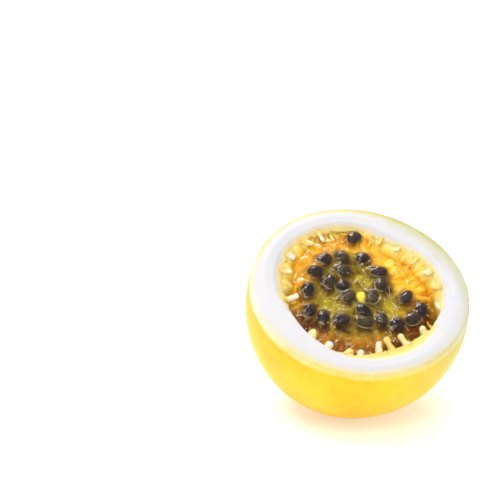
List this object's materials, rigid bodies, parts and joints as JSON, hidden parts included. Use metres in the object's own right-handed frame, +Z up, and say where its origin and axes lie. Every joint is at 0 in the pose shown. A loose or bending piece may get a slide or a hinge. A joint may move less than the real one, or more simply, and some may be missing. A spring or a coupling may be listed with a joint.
{
  "type": "passion fruit half",
  "caption": "Half of a ripe yellow passion fruit lying on its rind: thick white pith, short inner stalks, and juicy pulp with dark seeds in an open hollow.",
  "frame": {"origin": "centre of the flat spot that the rind rests on", "axes": "+Z up from the resting surface; the open cut face leans 31 degrees from level towards -Y"},
  "size_m": [0.0704, 0.0685, 0.0596],
  "materials": {
    "skin": "smooth waxy yellow skin, white spongy pith on the cut face",
    "pulp": "wet, juicy and see-through, amber to olive",
    "seed": "hard, dark brown to black, wet and finely pitted"
  },
  "bodies": {
    "root": {"rind": "skin", "pulp": "pulp", "seed_01": "seed", "seed_02": "seed", "seed_03": "seed", "seed_04": "seed", "seed_05": "seed", "seed_06": "seed", "seed_07": "seed", "seed_08": "seed", "seed_09": "seed", "seed_10": "seed", "seed_11": "seed", "seed_12": "seed", "seed_13": "seed", "seed_14": "seed", "seed_15": "seed", "seed_16": "seed", "seed_17": "seed", "seed_18": "seed", "seed_19": "seed", "seed_20": "seed", "seed_21": "seed", "seed_22": "seed", "seed_23": "seed"}
  },
  "joints": []
}
